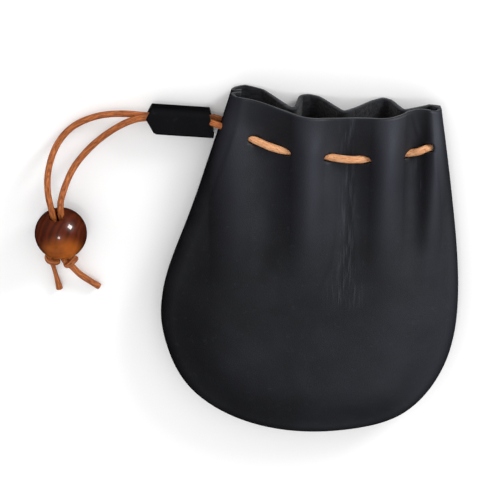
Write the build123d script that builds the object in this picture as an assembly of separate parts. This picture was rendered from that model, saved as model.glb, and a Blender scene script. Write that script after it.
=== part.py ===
"""A drawstring dice bag: two leather panels sewn and turned, one leather cord, a slider and a bead.

The bag lies on its back. X runs across it, +Y points to its mouth, +Z is up, and the origin is
on the supporting surface under the middle of the bag. All sizes are in millimetres.
"""

import math
import os

import numpy as np
from build123d import *

# Leather and seam
LEATHER = 1.5
SEAM_HEIGHT = 7.0
SEAM_ALLOWANCE = 4.0
THREAD = 0.7
STITCH = 6.0
THREAD_INSET = 2.4
THREAD_CLEARANCE = 0.1
NEEDLE_REACH = 4.0

# Bag outline, from the left end of the mouth round the bottom to its right end
OUTLINE = [
    (-30.2, 72.0), (-37.8, 49.4), (-47.7, 20.0), (-55.3, -1.0), (-58.2, -17.0), (-55.6, -34.0),
    (-48.0, -50.5), (-32.0, -64.5), (-8.0, -72.2), (18.0, -71.6), (38.0, -64.6), (50.2, -50.0),
    (57.2, -29.0), (58.1, -6.0), (54.4, 28.0), (48.2, 66.6),
]
MOUTH_MIDDLE = (10.0, 66.4)

# How full the bag is: heights of the front panel above the seam
EDGE_RISE = 6.5
EDGE_ROUND = 3.5
BELLY_RISE = 6.8
BELLY_WIDTH = 16.0
BACK_SETTLE = 0.6

# Flutes where the cord gathers the mouth
FLUTE_START = -12.0
FLUTE_FADE = 6.0
FRONT_FLUTE = 3.2
FRONT_RIM_FLUTE = 1.6
BACK_LIFT = 2.95
BACK_RIM_LIFT = 3.4

# Cord
CORD = 2.5
CORD_CLEARANCE = 0.4
HOLES = [(-23.5, 57.8), (-8.3, 53.0), (4.6, 51.8), (21.3, 50.6), (34.3, 51.4), (42.3, 52.6)]
HOLE_LENGTH = 8.6
HOLE_DEPTH = 4.5
EXIT_X = -35.6
EXIT_Y = 60.8
EXIT_CLEARANCE = 0.3
EXIT_BORE = 5.0
EXIT_LEAD = 1.8
TURN_X = 44.8
TURN_DROP = 2.6
TURN_SHIFTS = (0.2, 0.3)
ARC_SHARE = 0.45

# Free strands, from the exit holes to the bead, as corner points of the cord's middle line
STRAND_A = [
    (-39.4, 60.9, 4.6), (-45.0, 60.8, 4.7), (-53.0, 61.3, 4.6), (-62.5, 62.5, 4.6), (-72.5, 63.4, 4.7),
    (-81.5, 61.9, 3.6), (-90.5, 57.6, 2.7), (-96.6, 50.8, 4.2), (-99.6, 42.5, 8.6), (-99.7, 35.0, 13.4),
]
STRAND_B = [
    (-39.2, 60.9, 7.2), (-44.5, 60.8, 7.3), (-54.0, 61.5, 7.2), (-66.3, 62.2, 7.5), (-75.0, 57.4, 6.0),
    (-83.5, 50.0, 4.4), (-90.3, 42.4, 6.4), (-93.8, 35.0, 12.4),
]

# Slider
SLIDER_WIDTH = 11.0
SLIDER_HEIGHT = 8.6
SLIDER_WALL = 1.5
SLIDER_CORNER = 3.4
SLIDER_GAP = 1.6
SLIDER_MIDDLE = (-49.6, 60.7)
SLIDER_ANGLE = -4.0
SLIDER_LAP = 0.5
SLIDER_REACH = 20.0
SLOT_TRIM = 0.2
SLIDER_PLAN = [(-10.6, 6.0), (-12.6, 1.6), (-9.8, -6.0), (11.2, -6.0), (9.9, 0.2), (9.4, 6.0)]

# Bead
BEAD = 20.0
BEAD_CLEARANCE = 0.3
STRAND_GAP = 0.1
BORE_LEAD = 2.0
BEAD_MIDDLE = (-95.7, 16.5)
BEAD_RISE = 22.0
BEAD_TURN = 6.0
COUNTERSINK = 0.9

# Knots and their tails
KNOT_LENGTH = 5.6
KNOT_WIDTH = 6.6
KNOT_SPREAD = 2.1
KNOT_ROUND = 1.2
TAIL_A = [(-100.2, -1.0, 3.4), (-98.6, -10.4, 1.4)]
TAIL_B = [(-91.0, -1.0, 3.4), (-83.6, -9.2, 1.4)]
TAIL_BEND = 3.0

# Sizes that follow from the ones above
GRID_X = np.arange(-64.0, 64.1, 3.2)
GRID_Y = np.arange(-78.0, 82.1, 4.0)
REACH = 60.0
BACK_THICKNESS = LEATHER + BACK_SETTLE
SEAM_STEPS = 40
BORE = 2.0 * (CORD + BEAD_CLEARANCE)
SLOT_WIDTH = SLIDER_WIDTH - 2.0 * SLIDER_WALL - SLOT_TRIM
SLOT_HEIGHT = SLIDER_HEIGHT - 2.0 * SLIDER_WALL
SLIDER_Z = SLIDER_GAP + SLIDER_HEIGHT / 2.0
EXIT_OFFSET = LEATHER + CORD / 2.0 + EXIT_CLEARANCE


def outline_curve():
    """The seam line in plan, from the left end of the mouth to the right end."""
    return Spline(*OUTLINE)


def outline_samples():
    """Points along the seam line, carried on straight past both ends of the mouth."""
    curve = outline_curve()
    points = [tuple(curve @ (i / 400)) for i in range(401)]
    start = curve @ 0 - (curve % 0) * REACH
    end = curve @ 1 + (curve % 1) * REACH
    return np.array([tuple(start)] + points + [tuple(end)])[:, :2]


SEAM_LINE = outline_samples()


def seam_distance(x, y):
    """Distance in plan from the seam line, positive inside the bag."""
    start = SEAM_LINE[:-1]
    run = SEAM_LINE[1:] - start
    point = np.stack([x, y], axis=-1)[..., None, :] - start
    share = np.clip((point * run).sum(-1) / (run * run).sum(-1), 0.0, 1.0)
    away = point - share[..., None] * run
    distance = np.sqrt((away * away).sum(-1))
    nearest = distance.argmin(-1)[..., None]
    side = run[:, 0] * point[..., 1] - run[:, 1] * point[..., 0]
    inside = np.sign(np.take_along_axis(side, nearest, -1))[..., 0]
    return np.take_along_axis(distance, nearest, -1)[..., 0] * np.where(inside < 0, -1.0, 1.0)


def flute_wave(x):
    """Side to side wave of the gathers: 0 at each hole, -1 in a valley and +1 on a crest."""
    holes = [hole[0] for hole in HOLES]
    first = holes[0] - (holes[1] - holes[0])
    last = holes[-1] + (holes[-1] - holes[-2])
    count = len(holes)
    turns = np.interp(x, [first] + holes + [last], np.arange(-1, count + 1))
    return -np.sin(math.pi * turns)


def cord_line(x):
    """Where the line of holes runs across the bag."""
    return np.interp(x, [hole[0] for hole in HOLES], [hole[1] for hole in HOLES])


def rise_to(y, start, end):
    """0 before start, 1 after end and a smooth step between."""
    share = np.clip((y - start) / (end - start), 0.0, 1.0)
    return share * share * (3.0 - 2.0 * share)


def front_height(x, y):
    """Height of the front panel's outer face."""
    distance = np.maximum(seam_distance(x, y), 0.0)
    belly = BELLY_RISE * (1.0 - np.exp(-((distance / BELLY_WIDTH) ** 2)))
    past_cord = rise_to(y, cord_line(x), MOUTH_MIDDLE[1])
    flute = FRONT_FLUTE + (FRONT_RIM_FLUTE - FRONT_FLUTE) * past_cord
    strength = rise_to(y, FLUTE_START, cord_line(x)) * rise_to(distance, 0.0, FLUTE_FADE)
    return SEAM_HEIGHT + EDGE_RISE + belly + flute * strength * flute_wave(x)


def back_height(x, y):
    """Height of the back panel's outer face above the supporting surface."""
    distance = seam_distance(x, y)
    past_cord = rise_to(y, cord_line(x), MOUTH_MIDDLE[1])
    lift = BACK_LIFT + (BACK_RIM_LIFT - BACK_LIFT) * past_cord
    strength = rise_to(y, FLUTE_START, cord_line(x)) * rise_to(distance, 0.0, FLUTE_FADE)
    return lift * strength * (1.0 - flute_wave(x)) - BACK_SETTLE


def height_face(height, drop):
    """A smooth face through a grid of points of a height formula, lowered by drop."""
    x, y = np.meshgrid(GRID_X, GRID_Y)
    z = height(x, y) - drop
    grid = np.stack([x, y, z], axis=-1).tolist()
    rows = [[Vector(*point) for point in row] for row in grid]
    return Face.make_surface_from_array_of_points(rows, tol=0.05, min_deg=3, max_deg=3)


def seam_curve(inset):
    """The seam line moved inwards."""
    curve = outline_curve()
    shares = [i / SEAM_STEPS for i in range(SEAM_STEPS + 1)]
    return Spline(*[curve @ share + (curve % share).rotate(Axis.Z, 90) * inset for share in shares])


def bag_plan(inset=0.0):
    """The bag's plan, moved inwards along the seam and open past the mouth."""
    curve = seam_curve(inset)
    start = curve @ 0 - (curve % 0) * REACH / 4.0
    end = curve @ 1 + (curve % 1) * REACH / 4.0
    return make_face([Line(start, curve @ 0), curve, Line(curve @ 1, end), Line(end, start)])


def mouth_cut():
    """Everything past the mouth's edge."""
    left = Vector(*OUTLINE[0])
    right = Vector(*OUTLINE[-1])
    arc = ThreePointArc(left, MOUTH_MIDDLE, right)
    left_out = left - (arc % 0) * REACH
    right_out = right + (arc % 1) * REACH
    rim = [Line(left_out, left), arc, Line(right, right_out)]
    top = Polyline(right_out, right_out + (0, REACH), left_out + (0, REACH), left_out)
    return extrude(make_face(rim + [top]), REACH)


def long_edge(block, low, high):
    """The edge that runs all round a block, from one end of the mouth to the other, between two heights."""
    return [edge for edge in block.edges() if edge.length > 4.0 * REACH and low < edge.center().Z < high]


def seam_flange(flange_low):
    """The seam allowance: a flat band turned inwards along the seam line."""
    ring = bag_plan(LEATHER / 2.0) - bag_plan(SEAM_ALLOWANCE)
    return Pos(0, 0, flange_low) * extrude(ring, LEATHER)


def front_panel():
    """The front panel: belly, flutes, rounded edge, seam allowance and cord holes."""
    block = Pos(0, 0, SEAM_HEIGHT) * extrude(bag_plan(), REACH)
    block = block & extrude(height_face(front_height, 0.0), REACH, dir=(0, 0, -1))
    outside = fillet(long_edge(block, SEAM_HEIGHT + EDGE_ROUND, REACH), EDGE_ROUND)
    room = Pos(0, 0, SEAM_HEIGHT) * extrude(bag_plan(LEATHER), REACH)
    inside = room & extrude(height_face(front_height, LEATHER), REACH, dir=(0, 0, -1))
    body = outside - inside + seam_flange(SEAM_HEIGHT) - mouth_cut()
    return body - hole_cutters(front_line()) - exit_cutter(front_line()) - stitch_holes()


def back_panel():
    """The back panel: flat where it rests, with its flutes, rounded edge and cord holes."""
    block = extrude(bag_plan(), SEAM_HEIGHT)
    block = fillet(long_edge(block, -EDGE_ROUND, EDGE_ROUND), EDGE_ROUND)
    outside = block & extrude(height_face(back_height, 0.0), REACH, dir=(0, 0, 1))
    room = extrude(bag_plan(LEATHER), SEAM_HEIGHT)
    inside = room & extrude(height_face(back_height, -BACK_THICKNESS), REACH, dir=(0, 0, 1))
    body = outside - inside + seam_flange(SEAM_HEIGHT - LEATHER) - mouth_cut()
    return body - hole_cutters(back_line()) - exit_cutter(back_line()) - stitch_holes()


def hole_points(surface, to_middle):
    """Where the cord crosses the middle of a panel, one point for each hole."""
    heights = [float(surface(np.array(x), np.array(y))) + to_middle for x, y in HOLES]
    return [Vector(x, y, z) for (x, y), z in zip(HOLES, heights)]


def front_line():
    """The cord's points along the front panel, from its exit to its last hole."""
    return [Vector(EXIT_X, EXIT_Y, SEAM_HEIGHT + EXIT_OFFSET)] + hole_points(front_height, -LEATHER / 2.0)


def back_line():
    """The cord's points along the back panel, from its exit to its last hole."""
    start = Vector(EXIT_X, EXIT_Y, SEAM_HEIGHT - EXIT_OFFSET - THREAD)
    return [start] + hole_points(back_height, BACK_THICKNESS / 2.0)


def hole_cutters(line):
    """Upright slots that let the slanting cord through a panel."""
    width = CORD + 2.0 * CORD_CLEARANCE
    cutters = []
    for before, point in zip(line[:-1], line[1:]):
        run = point - before
        turn = math.degrees(math.atan2(run.Y, run.X))
        slot = extrude(SlotOverall(HOLE_LENGTH, width), HOLE_DEPTH, both=True)
        cutters.append(Pos(point.X, point.Y, point.Z) * Rot(0, 0, turn) * slot)
    return cutters


def exit_cutter(line):
    """The hole in the side of a panel that a free end of the cord leaves by."""
    run = line[1] - line[0]
    bore = Cylinder(CORD / 2.0 + CORD_CLEARANCE, EXIT_BORE, align=(Align.CENTER, Align.CENTER, Align.MIN))
    return Plane(line[0] - run.normalized(), z_dir=run).location * bore


def fillet_radii(points):
    """The radius of each corner of a cord: a share of its shorter run over the tangent of half its turn."""
    radii = []
    for before, corner, after in zip(points[:-2], points[1:-1], points[2:]):
        run_in = corner - before
        run_out = after - corner
        half = math.radians(run_in.get_angle(run_out)) / 2.0
        radii.append(ARC_SHARE * min(run_in.length, run_out.length) / math.tan(half))
    return radii


def tube(name, points, diameter):
    """A round tube along straight runs joined by tangent arcs, with its radii and length printed."""
    radii = fillet_radii(points)
    path = FilletPolyline(*points, radius=radii)
    solid = sweep(Plane(path @ 0, z_dir=path % 0) * Circle(diameter / 2.0), path=path)
    area = math.pi * diameter * diameter / 4.0
    print(name, "length", round(path.length, 1), "volume / (section x length)",
          round(solid.volume / (area * path.length), 4), "radii", [round(radius, 1) for radius in radii])
    return solid


def drawstring():
    """The laced run of the cord: front holes, round the right end inside, then the back holes."""
    front = front_line()
    back = back_line()
    last_y = HOLES[-1][1]
    turn_top = Vector(TURN_X, last_y + TURN_SHIFTS[0], front[-1].Z - TURN_DROP)
    turn_low = Vector(TURN_X, last_y + TURN_SHIFTS[1], back[-1].Z + TURN_DROP)
    return tube("drawstring", front + [turn_top, turn_low] + back[::-1], CORD)


def stitch_points():
    """Needle holes along the seam line, an even number of them."""
    curve = seam_curve(THREAD_INSET)
    count = 2 * int(curve.length / STITCH / 2.0)
    return [curve @ (i / count) for i in range(count + 1)][1:-1]


def stitch_holes():
    """Needle holes through both seam allowances."""
    needle = Cylinder(THREAD / 2.0 + THREAD_CLEARANCE, NEEDLE_REACH)
    return [Pos(point.X, point.Y, SEAM_HEIGHT) * needle for point in stitch_points()]


def seam_thread():
    """Running stitch through both seam allowances, as one thread."""
    height = LEATHER + THREAD / 2.0 + THREAD_CLEARANCE
    route = []
    for index, point in enumerate(stitch_points()):
        side = height if index % 2 == 0 else -height
        route.append(Vector(point.X, point.Y, SEAM_HEIGHT - side))
        route.append(Vector(point.X, point.Y, SEAM_HEIGHT + side))
    path = FilletPolyline(*route[1:-1], radius=THREAD)
    return sweep(Plane(path @ 0, z_dir=path % 0) * Circle(THREAD / 2.0), path=path)


def slider_place():
    """Where the slider sits: its middle, turned along the cord."""
    return Pos(*SLIDER_MIDDLE, SLIDER_Z) * Rot(0, 0, SLIDER_ANGLE)


def slider():
    """A leather strip rolled round both strands, one end cut to a point and one end cut slanting."""
    plan = Polyline(*SLIDER_PLAN, close=True)
    block = extrude(make_face(plan), SLIDER_HEIGHT, both=True)
    profile = Plane.YZ * RectangleRounded(SLIDER_WIDTH, SLIDER_HEIGHT, SLIDER_CORNER)
    slot = Plane.YZ * RectangleRounded(SLOT_WIDTH, SLOT_HEIGHT, SLIDER_CORNER - SLIDER_WALL)
    wall = extrude(profile, SLIDER_REACH, both=True) - extrude(slot, SLIDER_REACH, both=True)
    lap = Box(2.0 * SLIDER_REACH, SLIDER_LAP, 2.0 * SLIDER_LAP)
    lap = Pos(0, -SLIDER_WIDTH / 4.0, SLIDER_HEIGHT / 2.0) * lap
    return slider_place() * ((wall - lap) & block)


def bead_place():
    """The bead's frame: z along its bore, towards the bag."""
    rise = math.radians(BEAD_RISE)
    turn = math.radians(BEAD_TURN)
    bore = Vector(-math.cos(rise) * math.sin(turn), math.cos(rise) * math.cos(turn), math.sin(rise))
    return Plane(Vector(*BEAD_MIDDLE, BEAD / 2.0), z_dir=bore, x_dir=(math.cos(turn), math.sin(turn), 0))


def bead():
    """A round bead with one bore for both strands, countersunk at both ends."""
    ball = Sphere(BEAD / 2.0)
    face = math.sqrt((BEAD / 2.0) ** 2 - (BORE / 2.0) ** 2)
    sink = Cone(BORE / 2.0, BORE / 2.0 + 2.0 * COUNTERSINK, 2.0 * COUNTERSINK)
    cuts = [Cylinder(BORE / 2.0, BEAD), Pos(0, 0, face) * sink, Pos(0, 0, -face) * Rot(180, 0, 0) * sink]
    return bead_place().location * (ball - cuts)


def bore_points(side):
    """A strand's two points in the bead's bore, from the bag's side to the knots' side."""
    place = bead_place()
    offset_x = side * (CORD + STRAND_GAP) / 2.0
    ends = [BEAD / 2.0 + BORE_LEAD, -BEAD / 2.0]
    return [place.from_local_coords(Vector(offset_x, 0, end)) for end in ends]


def strand(name, line, points, side):
    """A free strand: straight on out of its exit hole, along its points and through the bead."""
    lead = line[0] + (line[0] - line[1]).normalized() * EXIT_LEAD
    run = [Vector(*point) for point in points]
    return tube(name, [line[0], lead] + run + bore_points(side), CORD)


def strand_a():
    """The outer free strand, from the back panel's exit hole to its knot."""
    return strand("strand_a", back_line(), STRAND_A, -1.0)


def strand_b():
    """The inner free strand, from the front panel's exit hole to its knot."""
    return strand("strand_b", front_line(), STRAND_B, 1.0)


def knot(side, tail):
    """A tight overhand knot as a plain barrel, with its short cut tail."""
    end = bore_points(side)[1]
    way = (end - bore_points(side)[0]).normalized()
    barrel = fillet(Cylinder(KNOT_WIDTH / 2.0, KNOT_LENGTH).edges(), KNOT_ROUND)
    spread = bead_place().x_dir * (side * KNOT_SPREAD)
    middle = end + way * (KNOT_LENGTH / 2.0) + spread
    ball = Plane(middle, z_dir=way).location * barrel
    path = FilletPolyline(middle, *[Vector(*point) for point in tail], radius=TAIL_BEND)
    return ball + sweep(Plane(path @ 0, z_dir=path % 0) * Circle(CORD / 2.0), path=path)


PARTS = {
    "front_panel": front_panel,
    "back_panel": back_panel,
    "seam_thread": seam_thread,
    "drawstring": drawstring,
    "strand_a": strand_a,
    "strand_b": strand_b,
    "knot_a": lambda: knot(-1.0, TAIL_A),
    "knot_b": lambda: knot(1.0, TAIL_B),
    "slider": slider,
    "bead": bead,
}

os.makedirs("parts", exist_ok=True)
for part_name, make_part in PARTS.items():
    export_step(make_part(), f"parts/{part_name}.step")
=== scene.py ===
"""A drawstring dice bag of dark leather, dressed around its CAD frame.

Sizes are in millimetres, as a maker would give them, and become metres when a mesh or a light is made.
The bag lies on its back: X runs across it, +Y points to its mouth and +Z is up.
"""

import logging
import math
from collections.abc import Sequence
from dataclasses import dataclass, field
from enum import Enum

import bpy
import numpy as np
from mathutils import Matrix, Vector


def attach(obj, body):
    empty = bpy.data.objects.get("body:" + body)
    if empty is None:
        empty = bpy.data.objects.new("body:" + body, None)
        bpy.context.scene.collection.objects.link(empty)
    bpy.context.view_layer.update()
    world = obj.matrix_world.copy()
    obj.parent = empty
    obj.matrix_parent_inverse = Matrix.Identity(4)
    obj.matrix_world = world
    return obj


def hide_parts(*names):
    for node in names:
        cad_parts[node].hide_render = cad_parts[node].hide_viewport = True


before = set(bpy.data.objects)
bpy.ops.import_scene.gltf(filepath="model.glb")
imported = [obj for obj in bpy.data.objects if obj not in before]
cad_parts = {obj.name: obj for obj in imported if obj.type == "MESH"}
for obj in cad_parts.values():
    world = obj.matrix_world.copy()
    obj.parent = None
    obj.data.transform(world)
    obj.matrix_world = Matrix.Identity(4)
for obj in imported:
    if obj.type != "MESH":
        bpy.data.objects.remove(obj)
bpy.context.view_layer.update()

Array = np.ndarray
Point = tuple[float, float, float]
Flat = tuple[float, float]
Colour = tuple[float, float, float]
Socket = bpy.types.NodeSocket

MM = 0.001
LOG = logging.getLogger("dice_bag")

LEATHER = 1.5
SEAM_HEIGHT = 7.0
CORD = 2.5
OFF_FLOOR = 0.02
BEAD_MIDDLE = (-95.7, 16.5, 10.0)
BORE_RISE = math.radians(22.0)
CAP_SHARES = np.array([0.93, 0.6, 0.25, 0.02])


# ---------------------------------------------------------------- shared shape maths


def smooth_step(value: Array, start: Array | float, end: Array | float) -> Array:
    """0 before start, 1 after end, and a smooth step of 3t^2 - 2t^3 between."""
    share = np.clip((value - start) / (end - start), 0.0, 1.0)
    return share * share * (3.0 - 2.0 * share)


def smooth_line(points: Array, count: int) -> Array:
    """A smooth line through points, cut into equal steps.

    Each stretch is a cubic in a parameter that grows by the points' distance. The second derivative is
    continuous, and zero at both ends.

    Args:
        points: The points to pass through, one to a row.
        count: How many points to give back.

    Returns:
        The line's points, one to a row.
    """
    step = np.linalg.norm(np.diff(points, axis=0), axis=1)
    knots = np.concatenate([[0.0], np.cumsum(step)])
    inner = np.arange(1, len(points) - 1)
    matrix = np.eye(len(points))
    matrix[inner, inner - 1] = step[:-1]
    matrix[inner, inner] = 2.0 * (step[:-1] + step[1:])
    matrix[inner, inner + 1] = step[1:]
    right = np.zeros_like(points)
    right[1:-1] = 6.0 * np.diff(np.diff(points, axis=0) / step[:, None], axis=0)
    bend = np.linalg.solve(matrix, right)
    fine = np.linspace(0.0, knots[-1], 8 * count)
    cell = np.clip(np.searchsorted(knots, fine, side="right") - 1, 0, len(points) - 2)
    width = step[cell][:, None]
    left = (fine - knots[cell])[:, None]
    rest = width - left
    line = (bend[cell] * rest**3 + bend[cell + 1] * left**3) / (6.0 * width)
    line = line + (points[cell] / width - bend[cell] * width / 6.0) * rest
    line = line + (points[cell + 1] / width - bend[cell + 1] * width / 6.0) * left
    return even_steps(line, count)


def even_steps(line: Array, count: int) -> Array:
    """A line's points moved along it, so that they are equally far apart."""
    along = np.concatenate([[0.0], np.cumsum(np.linalg.norm(np.diff(line, axis=0), axis=1))])
    even = np.linspace(0.0, along[-1], count)
    return np.stack([np.interp(even, along, line[:, axis]) for axis in range(line.shape[1])], axis=-1)


def soft_noise(x: Array, y: Array, size: float, seed: int) -> Array:
    """Smooth random values from -1 to 1.

    Random numbers stand on a square grid, and each point mixes the four round it by smooth steps.

    Args:
        x: Across, in millimetres.
        y: Along, in millimetres.
        size: The grid's spacing, in millimetres.
        seed: Which set of random numbers.

    Returns:
        One value for each point.
    """
    table = np.random.default_rng(seed).uniform(-1.0, 1.0, (96, 96))
    column, row = x / size + 40.0, y / size + 40.0
    i, j = np.floor(column).astype(int), np.floor(row).astype(int)
    across = smooth_step(column - i, 0.0, 1.0)
    along = smooth_step(row - j, 0.0, 1.0)
    i, j = i % 95, j % 95
    low = table[i, j] * (1.0 - across) + table[i + 1, j] * across
    high = table[i, j + 1] * (1.0 - across) + table[i + 1, j + 1] * across
    return low * (1.0 - along) + high * along


def smooth_table(x: Array, knots: Sequence[Flat], reach: float) -> Array:
    """Values given at a few places, joined by straight lines and then smoothed by a bell of a given reach."""
    places, values = np.array(knots).T
    step, past_ends = 0.25, 4.0
    table = np.arange(places[0] - past_ends, places[-1] + past_ends + step, step)
    half = max(int(reach / step), 1)
    bell = np.exp(-(np.linspace(-2.0, 2.0, 2 * half + 1) ** 2))
    padded = np.pad(np.interp(table, places, values), half, mode="edge")
    return np.interp(x, table, np.convolve(padded, bell / bell.sum(), mode="valid"))


def segment_distance(x: Array, y: Array, line: Array) -> tuple[Array, Array]:
    """Distance in plan from a line of straight stretches, and how far along it the nearest point is.

    Each point is dropped on to every stretch, held between its ends, and the nearest foot is kept.

    Args:
        x: Across, one value to a point.
        y: Along, one value to a point.
        line: The line's points, one to a row.

    Returns:
        The distances, and the shares of the line's length.
    """
    start = line[:-1]
    run = line[1:] - start
    square = np.maximum((run * run).sum(-1), 1e-12)
    lengths = np.sqrt(square)
    before = np.concatenate([[0.0], np.cumsum(lengths)])
    flat_x, flat_y = x.ravel(), y.ravel()
    distance = np.empty(flat_x.shape)
    share = np.empty(flat_x.shape)
    for first in range(0, len(flat_x), 8000):
        block = slice(first, first + 8000)
        point = np.stack([flat_x[block], flat_y[block]], axis=-1)[:, None, :] - start
        foot = np.clip((point * run).sum(-1) / square, 0.0, 1.0)
        away = point - foot[..., None] * run
        gap = (away * away).sum(-1)
        nearest = gap.argmin(-1)
        rows = np.arange(len(nearest))
        distance[block] = np.sqrt(gap[rows, nearest])
        share[block] = (before[nearest] + foot[rows, nearest] * lengths[nearest]) / before[-1]
    return distance.reshape(x.shape), share.reshape(x.shape)


def new_piece(
    name: str, points: Array, faces: Array, smooth: bool = True, crisp: float = 0.0
) -> bpy.types.Object:
    """A mesh object from points in millimetres, placed in the row frame.

    Args:
        name: The piece's name.
        points: One point to a row, in millimetres.
        faces: Four point numbers to a row, anticlockwise seen from outside.
        smooth: Whether its faces are shaded smooth.
        crisp: The angle past which an edge is shaded sharp, or 0 for none.

    Returns:
        The object, linked to the scene.
    """
    mesh = bpy.data.meshes.new(name)
    mesh.from_pydata((points * MM).tolist(), [], faces.tolist())
    mesh.polygons.foreach_set("use_smooth", np.full(len(mesh.polygons), smooth))
    mesh.update()
    if crisp:
        mesh.set_sharp_from_angle(angle=crisp)
    piece = bpy.data.objects.new(name, mesh)
    bpy.context.scene.collection.objects.link(piece)
    return piece


def grid_faces(rows: int, columns: int, closed: bool = False) -> Array:
    """The faces of a grid numbered row by row, with its last column joined to its first if closed."""
    row = columns * np.arange(rows - 1)[:, None]
    column = np.arange(columns if closed else columns - 1)[None, :]
    after = (column + 1) % columns
    above = row + columns
    return np.stack([row + column, row + after, above + after, above + column], axis=-1).reshape(-1, 4)


def add_uv(piece: bpy.types.Object, name: str, values: Array) -> None:
    """Gives a piece a UV map from one pair of values for each corner of each face."""
    layer = piece.data.uv_layers.new(name=name)
    layer.uv.foreach_set("vector", values.astype(np.float32).ravel())


def add_mask(piece: bpy.types.Object, name: str, values: Array) -> None:
    """Gives a piece one number for each point, for its material to read."""
    layer = piece.data.attributes.new(name=name, type="FLOAT", domain="POINT")
    layer.data.foreach_set("value", values.astype(np.float32).ravel())


def thicken(piece: bpy.types.Object, thickness: float) -> None:
    """Gives leather its thickness inwards, with its second finish inside and its third on its cut edges."""
    solid = piece.modifiers.new("thickness", "SOLIDIFY")
    solid.thickness = thickness * MM
    solid.offset = -1.0
    solid.material_offset = 1
    solid.material_offset_rim = 2


def dress(piece: bpy.types.Object, body: str, node: str, slot: str, *finishes: bpy.types.Material) -> None:
    """Gives a new piece its finishes and its body, hides the CAD node it stands for, and reports it."""
    for finish in finishes:
        piece.data.materials.append(finish)
    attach(piece, body)
    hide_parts(node)
    LOG.info("%s: %d faces", piece.name, len(piece.data.polygons))


# ---------------------------------------------------------------- node tools and shared effects


def linear(red: float, green: float, blue: float) -> tuple[float, float, float, float]:
    """A screen colour from 0 to 255 as Blender's linear colour."""
    shares = np.array([red, green, blue]) / 255.0
    values = np.where(shares <= 0.04045, shares / 12.92, ((shares + 0.055) / 1.055) ** 2.4)
    return (*values.tolist(), 1.0)


@dataclass
class Graph:
    """Adds nodes to a tree and joins them."""

    tree: bpy.types.NodeTree

    def feed(self, node: bpy.types.Node, inputs: dict) -> bpy.types.Node:
        """Gives a node its inputs, by name or number: a socket is linked, and a plain value is set."""
        for name, value in inputs.items():
            if isinstance(value, Socket):
                self.tree.links.new(value, node.inputs[name])
            else:
                node.inputs[name].default_value = value
        return node

    def add(self, kind: str, inputs: dict | None = None, **settings: object) -> bpy.types.Node:
        """A new node.

        Args:
            kind: The node's type, without its prefix.
            inputs: Values or sockets for its inputs, by name or number.
            settings: Its own settings.

        Returns:
            The node.
        """
        node = self.tree.nodes.new(kind if kind.startswith("Node") else "ShaderNode" + kind)
        for name, value in settings.items():
            setattr(node, name, value)
        return self.feed(node, inputs or {})

    def place(self) -> Socket:
        """Object coordinates, in metres."""
        return self.add("TexCoord").outputs["Object"]

    def math(self, operation: str, *values: object) -> Socket:
        """The result of a Math node on numbers or sockets."""
        return self.add("Math", dict(enumerate(values)), operation=operation).outputs[0]

    def vector(self, operation: str, first: object, second: object, output: int = 0) -> Socket:
        """The result of a Vector Math node."""
        return self.add("VectorMath", {0: first, 1: second}, operation=operation).outputs[output]

    def spread(
        self, value: object, low: float, high: float, to_low: float = 0.0, to_high: float = 1.0
    ) -> Socket:
        """A value moved from one range to another by a smooth step."""
        inputs = {"Value": value, "From Min": low, "From Max": high, "To Min": to_low, "To Max": to_high}
        return self.add("MapRange", inputs, interpolation_type="SMOOTHSTEP").outputs["Result"]

    def mix(self, factor: object, first: object, second: object) -> Socket:
        """Two colours mixed by a factor."""
        return self.add("Mix", {0: factor, 6: first, 7: second}, data_type="RGBA").outputs[2]

    def tint(self, base: object, mask: object, share: float, colour: Colour) -> Socket:
        """A base colour turned towards another where a mask is 1, by at most a share."""
        return self.mix(self.math("MULTIPLY", mask, share), base, linear(*colour))

    def noise(self, vector: object, scale: object, detail: float = 3.0, rough: float = 0.5) -> Socket:
        """Smooth noise from 0 to 1."""
        inputs = {"Vector": vector, "Scale": scale, "Detail": detail, "Roughness": rough}
        return self.add("TexNoise", inputs).outputs["Fac"]

    def stretched(self, vector: object, scale: Point) -> Socket:
        """Coordinates stretched by a factor along each axis."""
        return self.add("Mapping", {"Vector": vector, "Scale": scale}).outputs["Vector"]


class Effect(Enum):
    """The surface effects that more than one finish uses."""

    GRAIN = "leather_grain"
    MOTTLE = "mottled_dye"
    FIBRE = "drawn_fibres"
    DUST = "dust_specks"


@dataclass
class EffectGroup:
    """A node group under construction, which takes coordinates and a scale and gives named values."""

    effect: Effect
    outputs: tuple[str, ...]

    def begin(self) -> tuple[Graph, Socket, Socket, bpy.types.Node]:
        """The group's graph, its coordinates, its scale and its output node."""
        tree = bpy.data.node_groups.new(self.effect.value, "ShaderNodeTree")
        tree.interface.new_socket("Vector", in_out="INPUT", socket_type="NodeSocketVector")
        tree.interface.new_socket("Scale", in_out="INPUT", socket_type="NodeSocketFloat")
        for name in self.outputs:
            tree.interface.new_socket(name, in_out="OUTPUT", socket_type="NodeSocketFloat")
        graph = Graph(tree)
        given = graph.add("NodeGroupInput").outputs
        return graph, given["Vector"], given["Scale"], graph.add("NodeGroupOutput")


def grain_effect() -> bpy.types.NodeTree:
    """Leather grain: small rounded cells with fine creases between them, broken up by noise."""
    graph, vector, scale, out = EffectGroup(Effect.GRAIN, ("Height",)).begin()
    warp = graph.add("TexNoise", {"Vector": vector, "Scale": 180.0, "Detail": 2.0}).outputs["Color"]
    bent = graph.vector("ADD", vector, graph.vector("MULTIPLY", warp, (0.0016, 0.0016, 0.0016)))
    cells = graph.add("TexVoronoi", {"Vector": bent, "Scale": scale}, feature="DISTANCE_TO_EDGE")
    walls = graph.math("MULTIPLY", graph.spread(cells.outputs["Distance"], 0.0, 0.22), 0.4)
    graph.feed(out, {"Height": graph.math("MULTIPLY_ADD", graph.noise(vector, scale, 5.0), 0.6, walls)})
    return graph.tree


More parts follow.
